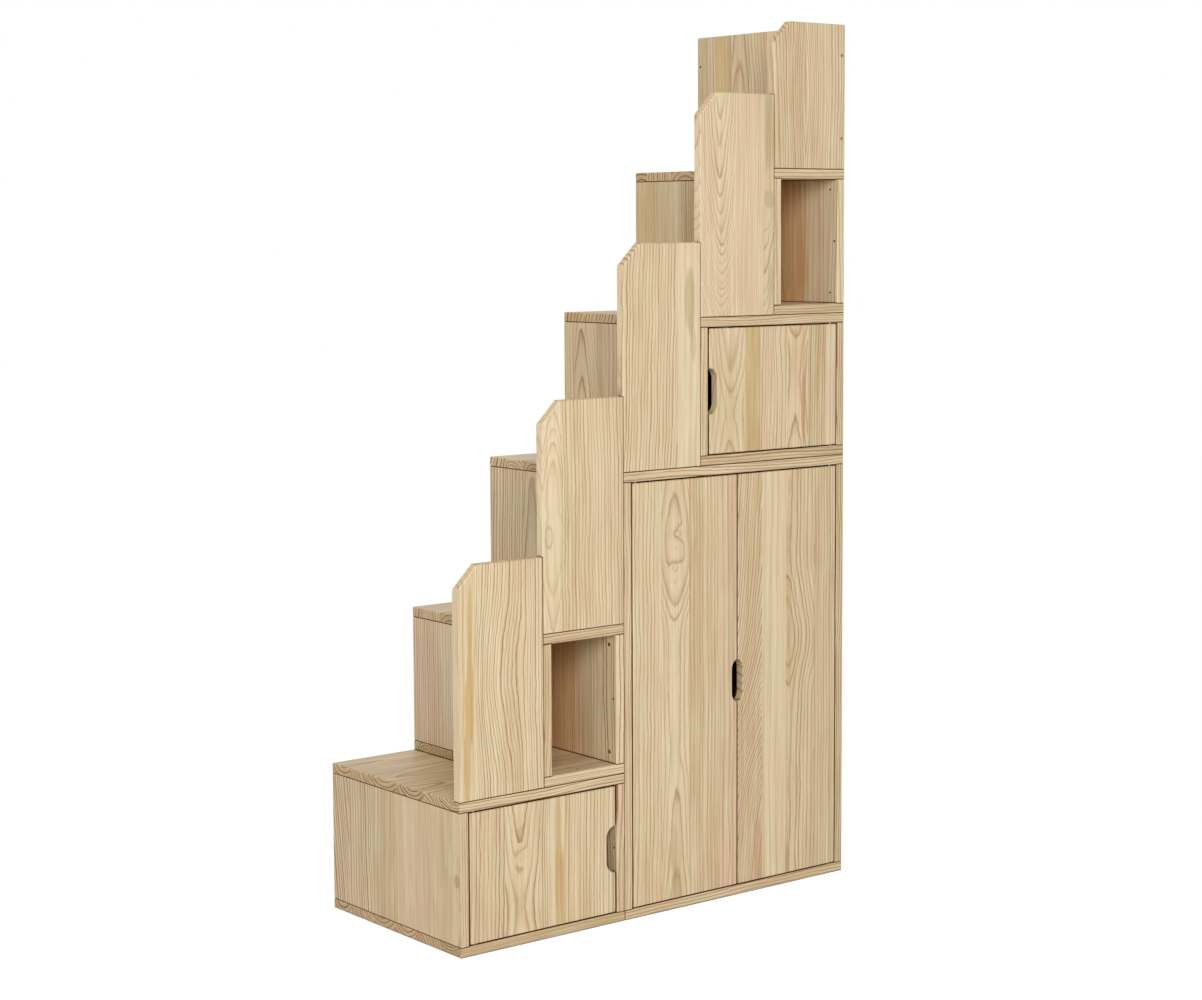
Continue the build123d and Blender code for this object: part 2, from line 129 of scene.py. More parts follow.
# %% A sheet of shader nodes
class Sheet:
    """The nodes of one material or of the world, and the few moves this lesson needs."""

    def __init__(self, owner, shader, end):
        owner.use_nodes = True
        self.owner = owner
        self.tree = owner.node_tree
        self.shader = self.tree.nodes[shader]
        self.end = self.tree.nodes[end]

    def node(self, kind, settings, inputs, output=0):
        """A node with its settings, then the values or links of its inputs."""
        made = self.tree.nodes.new(kind)
        for name, value in settings.items():
            if name == "stops":
                self.set_stops(made.color_ramp, value)
            elif name == "steps":
                made.color_ramp.interpolation = value
            else:
                setattr(made, name, value)
        for key, value in inputs.items():
            self.feed(made.inputs[key], value)
        return Num(self, made.outputs[output])

    def set_stops(self, ramp, stops):
        while len(ramp.elements) > 1:
            ramp.elements.remove(ramp.elements[-1])
        ramp.elements[0].position, ramp.elements[0].color = stops[0]
        for place, colour in stops[1:]:
            ramp.elements.new(place).color = colour

    def feed(self, target, value):
        if isinstance(value, Num):
            self.tree.links.new(value.socket, target)
        else:
            target.default_value = value

    def outputs(self, kind, inputs, names):
        """Several outputs of one node."""
        first = self.node(kind, {}, inputs, names[0])
        made = first.socket.node
        return [Num(self, made.outputs[name]) for name in names]

    def point(self):
        """The place of the point that is being shaded, in metres."""
        return self.node("ShaderNodeTexCoord", {}, {}, "Object")

    def split(self, vector):
        return self.outputs("ShaderNodeSeparateXYZ", {0: vector}, ["X", "Y", "Z"])

    def vector(self, x, y, z):
        return self.node("ShaderNodeCombineXYZ", {}, {0: x, 1: y, 2: z})

    def noise(self, vector, scale, detail, rough=0.5):
        """Soft noise about zero, roughly from -0.5 to 0.5."""
        made = self.node("ShaderNodeTexNoise", {},
                         {"Vector": vector, "Scale": scale, "Detail": detail, "Roughness": rough})
        return made - 0.5

    def curve(self, place, points, steps="LINEAR"):
        """A number read off a curve through some (place, value) points, all from 0 to 1."""
        stops = [(spot, (value, value, value, 1.0)) for spot, value in points]
        ramp = self.node("ShaderNodeValToRGB", {"steps": steps, "stops": stops}, {0: place})
        return self.outputs("ShaderNodeSeparateColor", {0: ramp}, ["Red"])[0]

    def openness(self, distance):
        """1 in the open, less where something stands within this distance."""
        settings = {"samples": 8}
        return self.node("ShaderNodeAmbientOcclusion", settings, {"Distance": distance}, "AO")

    def mix(self, amount, low, high, blend="MIX"):
        settings = {"data_type": "RGBA", "blend_type": blend}
        return self.node("ShaderNodeMix", settings, {0: amount, 6: low, 7: high}, 2)

    def finish(self, colour, roughness, height, depth, metallic=0.0):
        """Feed the shader. height is the relief of the surface, and depth its size in metres."""
        self.feed(self.shader.inputs["Base Color"], colour)
        self.feed(self.shader.inputs["Roughness"], roughness)
        self.shader.inputs["Metallic"].default_value = metallic
        bump = self.node("ShaderNodeBump", {}, {"Height": height, "Distance": depth})
        self.feed(self.shader.inputs["Normal"], bump)
        return self.owner

    def show_instead(self, amount, other):
        """Blend another light or surface over the sheet's own shader, and show the blend."""
        own = Num(self, self.shader.outputs[0])
        blend = self.node("ShaderNodeMixShader", {}, {0: amount, 1: own, 2: other})
        self.feed(self.end.inputs["Surface"], blend)


def finish_sheet(name):
    return Sheet(bpy.data.materials.new(name), "Principled BSDF", "Material Output")


# %% [markdown]
# ## The camera
# The picture is taken from the front left, a little above the middle of the stairs, with a
# long lens. The place was worked out from the corners of the stairs, so it is written as a
# real position in metres and a real focal length.

# %% Camera
IMAGE_WIDTH, IMAGE_HEIGHT = 1202, 1000
SENSOR = 36.0                         # width, mm
FOCAL_PIXELS = 2397.8                 # the focal length, in pixels of the picture
CAMERA_PLACE = Vector((-3.0482, -3.8732, 1.3751))
YAW, PITCH, ROLL = 38.44, -5.07, -0.25
AXIS_COLUMN, AXIS_ROW = 602.5, 443    # the pixel that the lens points at


def make_camera():
    camera = new_object("camera", bpy.data.cameras.new("camera"))
    camera.data.sensor_width = SENSOR
    camera.data.lens = SENSOR * FOCAL_PIXELS / IMAGE_WIDTH
    camera.data.shift_x = (IMAGE_WIDTH / 2 - AXIS_COLUMN) / IMAGE_WIDTH
    camera.data.shift_y = (AXIS_ROW - IMAGE_HEIGHT / 2) / IMAGE_WIDTH
    camera.location = CAMERA_PLACE
    turn = (Matrix.Rotation(math.radians(-YAW), 3, "Z")
            @ Matrix.Rotation(math.radians(90 + PITCH), 3, "X")
            @ Matrix.Rotation(math.radians(ROLL), 3, "Z"))
    camera.rotation_euler = turn.to_euler()
    bpy.context.scene.camera = camera
    return camera


camera = make_camera()
print("lens", round(camera.data.lens, 1), "mm")

# %% [markdown]
# ## Floor and light
# An even white sky would lift the treads most, but these stairs are lit mostly from the
# front. So one strong lamp stands in front, a weak one hangs above, and the sky is kept low.
# The floor is pale and keeps a soft shadow; to the camera it and the background are close to
# white.

# %% Floor
FLOOR_SIZE = 40.0
FLOOR_COLOUR, FLOOR_ROUGHNESS = (0.9, 0.9, 0.9, 1), 0.9
GLOW_STRENGTH = 1.1    # of the white that the camera sees in the floor
GLOW_SHARE = 0.85      # the rest is real floor, which keeps the shadow


def make_floor():
    mesh = bpy.data.meshes.new("floor")
    half = FLOOR_SIZE / 2
    mesh.from_pydata([(-half, -half, 0), (half, -half, 0), (half, half, 0), (-half, half, 0)],
                     [], [(0, 1, 2, 3)])
    floor = new_object("floor", mesh)
    sheet = finish_sheet("pale_floor")
    sheet.feed(sheet.shader.inputs["Base Color"], FLOOR_COLOUR)
    sheet.feed(sheet.shader.inputs["Roughness"], FLOOR_ROUGHNESS)
    white = sheet.node("ShaderNodeEmission", {}, {"Strength": GLOW_STRENGTH})
    rays = sheet.outputs("ShaderNodeLightPath", {}, ["Is Camera Ray", "Is Glossy Ray",
                                                     "Is Transmission Ray"])
    sheet.show_instead((rays[0] + rays[1] + rays[2]) * GLOW_SHARE, white)
    mesh.materials.append(sheet.owner)


make_floor()
print("floor", FLOOR_SIZE, "m wide")

# %% World and lamps
SKY_STRENGTH = 0.43
WHITE = (1, 1, 1, 1)
STAIR_MIDDLE = (0, 0, 0.9)
bpy.context.scene.view_settings.view_transform = "Standard"


def make_world():
    """A low white sky, which the camera and the shine on the pieces see at full white."""
    world = bpy.data.worlds.new("soft_room")
    bpy.context.scene.world = world
    sheet = Sheet(world, "Background", "World Output")
    sheet.feed(sheet.shader.inputs["Color"], WHITE)
    sheet.feed(sheet.shader.inputs["Strength"], SKY_STRENGTH)
    seen = sheet.node("ShaderNodeBackground", {}, {"Color": WHITE, "Strength": 1.0})
    rays = sheet.outputs("ShaderNodeLightPath", {}, ["Is Camera Ray", "Is Glossy Ray"])
    sheet.show_instead(rays[0].sum("MAXIMUM", rays[1]), seen)


def make_lamp(name, place, size, power):
    """A soft round box, size metres wide, that faces the middle of the stairs."""
    lamp = bpy.data.lights.new(name, "AREA")
    lamp.shape = "DISK"
    lamp.size = size
    lamp.energy = power
    thing = new_object(name, lamp)
    thing.location = place
    way = Vector(STAIR_MIDDLE) - Vector(place)
    thing.rotation_euler = way.to_track_quat("-Z", "Y").to_euler()


make_world()
make_lamp("front_box", place=(-3.1, -4.5, 2.9), size=2.6, power=200)
make_lamp("top_box", place=(-1.8, 0.2, 4.6), size=2.5, power=22)
print("lamps:", [lamp.name for lamp in bpy.data.lights], "under a sky of", SKY_STRENGTH)

# %% [markdown]
# ## Pine boards
# Each board is glued up from staves a few centimetres wide. A stave was sawn from a log, so
# its figure is a cut through growth rings: rings cut flat give arches, rings cut across give
# straight lines, and the ends show the rings themselves. The pattern here is made the same
# way. Every stave gets the place of its log's heart, the rings are distances from that
# heart, and the faces simply cut them. So the arches, the straight grain and the end grain
# all agree at the edges, which no flat picture of wood does.

# %% Which pieces are boards
BOXES = ("low", "lower_niche", "tall", "upper", "upper_niche")
DOORS = ("low", "tall_left", "tall_right", "upper")
GUARDS = tuple(f"guard_{number}" for number in range(1, 6))
LEVELS = tuple(f"{box}_{level}" for box in BOXES for level in ("floor", "top")
               if f"{box}_{level}" in nodes)
SIDES = tuple(f"{box}_{side}" for box in BOXES for side in ("side_left", "side_right"))
BOARDS = LEVELS + SIDES + GUARDS + ("end_board",)
JOINT_SHADE_REACH = Vector((1.1 * MM,) * 3)    # how far the painted shade of a joint reaches to each side
CREVICE = 10 * MM                   # how near two surfaces shade each other
print("boards in the carcase:", len(BOARDS))


# %% Staves
class Stave:
    """One stave of a board, as it was sawn from its log. Lengths are in mm.

    heart is how far to the side of the stave's middle the log's heart lay, and depth how
    far behind the board's middle. lean is how much the rings drift along the grain, in mm
    per metre: it turns straight grain into arches. course bends that drift: it lists places
    along the grain with the drift there, so that rings can close into eyes. ring is the
    width of one year's growth. tone is -1 dark to 1 light, warm is 0 plain to 1 pink, and
    bold scales the late wood.
    """

    def __init__(self, width, heart, depth, lean, ring=9.5, tone=0.0, warm=0.0, bold=1.0,
                 course=()):
        self.width = width
        self.heart = heart
        self.depth = depth
        self.lean = lean
        self.ring = ring
        self.tone = tone
        self.warm = warm
        self.bold = bold
        self.course = course


# %% Staves drawn by chance
NARROW, WIDE, LEAST = 44, 92, 32      # widths of a stave, mm
ARCHED_SHARE = 0.4


def random_staves(width, rng):
    """Staves of mixed widths that fill a board: some with arches, most straight."""
    staves = []
    left = width
    while left > 0:
        wide = min(rng.uniform(NARROW, WIDE), left)
        if left - wide < LEAST:
            wide = left
        if rng.random() < ARCHED_SHARE:
            heart, depth = rng.uniform(-14, 14), rng.choice((-1, 1)) * rng.uniform(16, 44)
            lean = rng.choice((-1, 1)) * rng.uniform(30, 120)
        else:
            heart, depth = rng.choice((-1, 1)) * rng.uniform(50, 140), rng.uniform(-40, 40)
            lean = rng.uniform(-14, 14)
        staves.append(Stave(wide, heart, depth, lean, rng.uniform(7.0, 11.5),
                            rng.uniform(-1, 1), max(rng.uniform(-1, 1), 0), rng.uniform(0.6, 1.1)))
        left -= wide
    return staves


def carcase_staves(width, rng):
    """Staves of a floor, top or side. The front one was sawn so that its edge shows lines."""
    front = Stave(56, rng.uniform(0, 50), rng.choice((-1, 1)) * rng.uniform(60, 110),
                  rng.uniform(-5, 5), 5.5, rng.uniform(-0.6, 0.3), 0.0, 1.4)
    return [front] + random_staves(width - front.width, rng)


# %% Numbers that change from stave to stave
def stave_ramp(sheet, place, staves, width, values):
    """Three numbers, each from 0 to 1, that are constant over each stave."""
    stops = []
    edge = 0.0
    for stave in staves:
        stops.append((edge / width, (*values(stave, edge), 1.0)))
        edge += stave.width
    ramp = sheet.node("ShaderNodeValToRGB", {"steps": "CONSTANT", "stops": stops}, {0: place})
    return sheet.outputs("ShaderNodeSeparateColor", {0: ramp}, ["Red", "Green", "Blue"])


def share(value, low, high):
    """Where a value lies between two limits, kept inside them."""
    return min(max((value - low) / (high - low), 0.0), 1.0)


DRIFT = 100.0       # the most that a bent course can drift, mm


def bent_course(sheet, along, length, place, width, staves):
    """Drift of the rings, in metres, in the staves whose course bends."""
    total = 0.0
    edge = 0.0
    for stave in staves:
        start, edge = edge, edge + stave.width
        if not stave.course:
            continue
        points = [(share(spot, 0, length), share(drift, -DRIFT, DRIFT))
                  for spot, drift in stave.course]
        bend = sheet.curve(along, points, "B_SPLINE") - 0.5
        off_middle = abs(place - (start + edge) / 2 / width)
        inside = 1.0 - off_middle.sum("GREATER_THAN", stave.width / 2 / width)
        total = inside * bend * (2 * DRIFT * MM) + total
    return total


# %% The colours of pine, and its marks
LIGHT_WOOD = screen(226, 206, 170)
DULL_WOOD = screen(196, 169, 127)
PINK_WOOD = screen(219, 188, 157)
LATE_WOOD = screen(146, 106, 60)
END_LATE = screen(120, 82, 46)
END_TONE = screen(238, 230, 212)
HONEY = screen(200, 168, 112)
RUSSET = screen(186, 142, 104)
# Painted warm shade for the inside of a niche wall
WARM_NICHE_SHADE = screen(212, 154, 94)
KNOT = screen(150, 116, 78)
# Painted shade at the bottom of the groove where two boards meet
JOINT_SHADE_COLOUR = screen(84, 40, 8)
GREEN_WOOD = screen(214, 205, 166)
SHADE = screen(88, 46, 8)
OLIVE = screen(184, 164, 122)


class Figure:
    """A mark that one board shows, with its lengths in mm.

    A streak goes through the board, and a face lies on the low side of its thickness only:
    it is painted warm shade on the inner side of a niche wall. A knot pushes the rings aside,
    and a pin is a small dark spot.
    """

    def __init__(self, kind, along, across, length, width, strength, colour=HONEY):
        self.kind = kind
        self.along = along
        self.across = across
        self.length = length
        self.width = width
        self.strength = strength
        self.colour = colour


# %% Growth rings
RING_PROFILE = [(0.0, 0.45), (0.07, 0.05), (0.35, 0.0), (0.62, 0.14), (0.80, 0.50), (0.91, 1.0),
                (0.96, 1.0), (1.0, 0.45)]


def growth_rings(sheet, rings, chance):
    """How much late wood there is, from a distance counted in rings."""
    uneven = sheet.noise(sheet.vector(rings * 0.45, chance * 31.0, 0.0), 1.0, 1.0) * 1.5
    count = rings + uneven
    late = sheet.curve(count.part(), RING_PROFILE)
    year = sheet.node("ShaderNodeTexWhiteNoise", {"noise_dimensions": "1D"},
                      {"W": count - count.part() + chance * 100.0}, "Value")
    return late * (0.50 + year * 0.75)


# %% Painted shade in a joint
def touching(node_name):
    """The places where a board meets its neighbours, as thin boxes round the joints."""
    low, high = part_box(node_name)
    places = []
    for other in BOARDS:
        other_low, other_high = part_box(other)
        start = [max(a, b) for a, b in zip(low, other_low)]
        stop = [min(a, b) for a, b in zip(high, other_high)]
        overlap = [b - a for a, b in zip(start, stop)]
        if other != node_name and min(overlap) > -0.1 * MM and sorted(overlap)[1] > MM:
            places.append((Vector(start) - JOINT_SHADE_REACH, Vector(stop) + JOINT_SHADE_REACH))
    return places


def painted_joint_shade(sheet, point, node_name):
    """Painted shade: near 1 in the bottom of the groove two eased edges leave where boards meet."""
    lines = None
    for start, stop in touching(node_name):
        offset = sheet.node("ShaderNodeVectorMath", {"operation": "SUBTRACT"},
                            {0: point, 1: (start + stop) / 2})
        away = sheet.node("ShaderNodeVectorMath", {"operation": "ABSOLUTE"}, {0: offset})
        room = sheet.node("ShaderNodeVectorMath", {"operation": "SUBTRACT"},
                          {0: (stop - start) / 2, 1: away})
        x, y, z = sheet.split(room)
        inside = x.sum("MINIMUM", y).sum("MINIMUM", z).between(0.0, 0.25 * MM)
        lines = inside if lines is None else lines.sum("MAXIMUM", inside)
    return lines * 0.9 if lines is not None else 0.0


# %% [markdown]
# ## How a board is shaded
# The shader first asks where the point lies in its board and in which stave. Then it takes
# the distance from that stave's heart, counts it in rings, and only at the end turns rings,
# fibres and slow changes of tone into colour. Knots push the rings aside before they are
# counted, as a branch does in the tree.

# %% A point in its board
class Board:
    """A board and the point on it that is being shaded. Its width is in mm, as its staves'
    are, and all else in metres."""

    def __init__(self, node_name, grain, across):
        low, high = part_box(node_name)
        self.through = 3 - grain - across
        self.width = (high - low)[across] / MM
        self.length = (high - low)[grain]
        self.sheet = finish_sheet("pine_" + node_name)
        self.point = self.sheet.point()
        places = self.sheet.split(self.point)
        self.along = places[grain] - low[grain]
        self.side = places[across] - low[across]
        self.deep = places[self.through] - (low[self.through] + high[self.through]) / 2
        self.share_across = self.side / (self.width * MM)
        facing = self.sheet.split(self.sheet.node("ShaderNodeTexCoord", {}, {}, "Normal"))
        self.on_end = abs(facing[grain]).between(0.5, 0.9)
        self.on_edge = abs(facing[across]).between(0.5, 0.9)

    def fibres(self, start, long, fine, detail, rough=0.5):
        """Noise drawn out along the grain, with its waves per metre along and across."""
        place = self.sheet.vector(start * long, self.side * fine, self.deep * fine)
        return self.sheet.noise(place, 1.0, detail, rough)


# %% Which stave, and which ring
HEART_REACH = 200.0     # how far from its board a log's heart can lie, mm
LEAN_REACH = 200.0      # mm per metre
WIDEST_RING = 20.0      # mm
BOLDEST = 2.0


class Wood:
    """What the stave at the shaded point is like."""

    def __init__(self, board, staves, rng):
        width = board.width

        def by_stave(values):
            return stave_ramp(board.sheet, board.share_across, staves, width, values)

        heart, depth, lean = by_stave(lambda stave, edge: (
            share(edge + stave.width / 2 + stave.heart, -HEART_REACH, width + HEART_REACH),
            share(stave.depth, -HEART_REACH, HEART_REACH),
            share(stave.lean, -LEAN_REACH, LEAN_REACH)))
        self.tone, self.warm, self.chance = by_stave(lambda stave, edge: (
            share(stave.tone, -1, 1), stave.warm, rng.random()))
        ring, bold, _ = by_stave(lambda stave, edge: (
            share(stave.ring, 0, WIDEST_RING), share(stave.bold, 0, BOLDEST), 0.0))
        self.heart = heart * ((width + 2 * HEART_REACH) * MM) - HEART_REACH * MM
        self.depth = depth * (2 * HEART_REACH * MM) - HEART_REACH * MM
        self.lean = lean * (2 * LEAN_REACH * MM) - LEAN_REACH * MM
        self.ring = ring * (WIDEST_RING * MM)
        self.bold = bold * BOLDEST
        self.grown = board.along + self.chance * 40.0


def from_the_heart(board, wood, staves):
    """Distance from the heart of the log, which wanders as the tree leaned and bent."""
    sheet, grown = board.sheet, wood.grown
    wander = sheet.noise(sheet.vector(grown * 2.6, wood.chance * 9.0, 0.0), 1.0, 1.0)
    sway = sheet.noise(sheet.vector(grown * 3.4, 5.0 + wood.chance * 9.0, 0.0), 1.0, 1.0)
    ripple = board.fibres(grown, 11.0, 26.0, 2.0)
    tremor = board.fibres(grown, 55.0, 90.0, 2.0)
    out = board.side - wood.heart + sway * (16 * MM) + ripple * (5 * MM)
    back = board.deep - wood.depth + wander * (30 * MM)
    radius = (out * out + back * back).root()
    bend = bent_course(sheet, board.along / board.length, board.length / MM, board.share_across,
                       board.width, staves)
    return radius + board.along * wood.lean + ripple * (4 * MM) + tremor * (2.2 * MM) + bend


def pushed_by_knots(board, radius, knots):
    """The radius with knots in its way, and how dark the knots themselves are."""
    dark = None
    for knot in knots:
        up = (board.along - knot.along * MM) / (knot.length * MM)
        out = (board.side - knot.across * MM) / (knot.width * MM)
        near = (up * up + out * out).root()
        radius = radius + (1.0 - near.between(0.0, 3.5)) * (knot.width * MM)
        rim = 1.0 - abs(near - 0.8).between(0.05, 0.30)
        fill = 1.0 - near.between(0.2, 1.1)
        spot = (fill if knot.kind == "pin" else rim + fill * 0.35) * knot.strength
        dark = spot if dark is None else dark + spot
    return radius, dark


# %% The pine material
def streaked(board, colour, marks, unevenness):
    """Long soft patches of resin or heartwood over the colour, and the painted warm shade of a face."""
    for mark in marks:
        place = board.sheet.vector(board.along * 6.0, mark.across, 0.0)
        drift = board.sheet.noise(place, 1.0, 3.0) * (12 * MM)
        out = abs(board.side - mark.across * MM + drift) / (mark.width * MM)
        end = abs(board.along - mark.along * MM) / (mark.length * MM)
        away = (out * out + end * end).root() + unevenness
        inside = 1.0 - away.between(0.36, 0.54)
        # A face is painted warm shade on the inner side of a niche wall
        if mark.kind == "face":
            inside = inside * (1.0 - board.deep.between(-6 * MM, 0.0))
        colour = board.sheet.mix(inside * mark.strength, colour, mark.colour)
    return colour


def pine(node_name, grain, across, staves, figures):
    """Pine for one board. grain and across are the axes of its grain and of its staves."""
    rng = random.Random(node_name)
    board = Board(node_name, grain, across)
    sheet = board.sheet
    make_staves = random_staves if board.through == Y else carcase_staves
    staves = staves or make_staves(board.width, rng)
    wood = Wood(board, staves, rng)
    knots = [mark for mark in figures if mark.kind in ("knot", "pin")]
    marks = [mark for mark in figures if mark.kind in ("streak", "face")]

    radius, dark = pushed_by_knots(board, from_the_heart(board, wood, staves), knots)
    late = growth_rings(sheet, radius / wood.ring, wood.chance) * wood.bold
    late = late * (1.0 - board.on_edge * 0.1)    # the edges are planed a little finer

    # Fine fibres, wider soft streaks, and slow changes of tone.
    fibre = board.fibres(board.along, 7.0, 330.0, 3.0, 0.7)
    streak = board.fibres(board.along, 3.0, 160.0, 2.0)
    cloud = board.fibres(wood.grown, 3.0, 30.0, 2.0)
    place = sheet.vector(wood.grown * 7.0, board.side * 22.0, board.deep * 22.0 + 3.0)
    blush = sheet.noise(place, 1.0, 1.0)
    light = (wood.tone * 0.7 + 0.15 + cloud * 0.9).between(0.0, 1.0)
    colour = sheet.mix(light, DULL_WOOD, LIGHT_WOOD)
    colour = sheet.mix(wood.warm * (0.6 + cloud * 0.6), colour, PINK_WOOD)
    colour = sheet.mix(blush.between(0.0, 0.22) * 0.35, colour, PINK_WOOD)
    colour = sheet.mix((blush * -1.0).between(0.0, 0.22) * 0.45, colour, GREEN_WOOD)
    colour = sheet.mix(late * (0.78 + cloud * 0.4), colour, LATE_WOOD)
    colour = streaked(board, colour, marks, streak * 0.3 + cloud * 0.2)
    if dark is not None:
        colour = sheet.mix(dark.between(0.0, 1.0), colour, KNOT)
    grey = sheet.mix(0.5 + fibre * 0.70 + streak * 0.40, (0, 0, 0, 1), WHITE)
    colour = sheet.mix(1.0, colour, grey, "SOFT_LIGHT")

    # The ends drink more finish and show the rings more strongly.
    ends = sheet.mix(1.0, colour, END_TONE, "MULTIPLY")
    ends = sheet.mix(late.between(0.05, 0.75) * 0.8, ends, END_LATE)
    colour = sheet.mix(board.on_end, colour, ends)

    # Painted shade darkens the joints, the gaps round a door and inside corners.
    colour = sheet.mix(painted_joint_shade(sheet, board.point, node_name), colour, JOINT_SHADE_COLOUR)
    closeness = 1.0 - sheet.openness(CREVICE).between(0.34, 0.74)
    colour = sheet.mix(closeness * 0.95, colour, SHADE)
    roughness = 0.50 - late * 0.08 + fibre * 0.10
    return sheet.finish(colour, roughness, fibre * 0.4 + late * 0.4, 0.10 * MM)


# %% [markdown]
# ## Which way each board runs
# Floors, tops and the shelf run along the flight, so their ends show at the left. Sides run
# upwards and are glued up from front to back. Doors and guards run upwards too, glued up
# from left to right.
#
# A workshop takes staves as they come, and most boards here draw theirs by chance, always the
# same for the same board. The boards that are seen first have theirs chosen instead, listed
# from the front or from the left, with their figures: a place along and across the board, a
# length, a width, a strength and a colour.

# %% Boards with a chosen figure
def arches(width, heart=0, depth=22, lean=0, **more):
    """A stave sawn flat. Its rings show as nested arches where it has a lean or a course."""
    return Stave(width, heart, depth, lean, **more)


def straight(width, heart=90, depth=15, lean=4, **more):
    """A stave sawn across the rings, whose figure is near straight lines."""
    return Stave(width, heart, depth, lean, **more)


def aslant(width, heart=60, depth=62, **more):
    """A front stave whose rings lie aslant, so that its face and its edge both show lines."""
    return Stave(width, heart, depth, 3, **more)


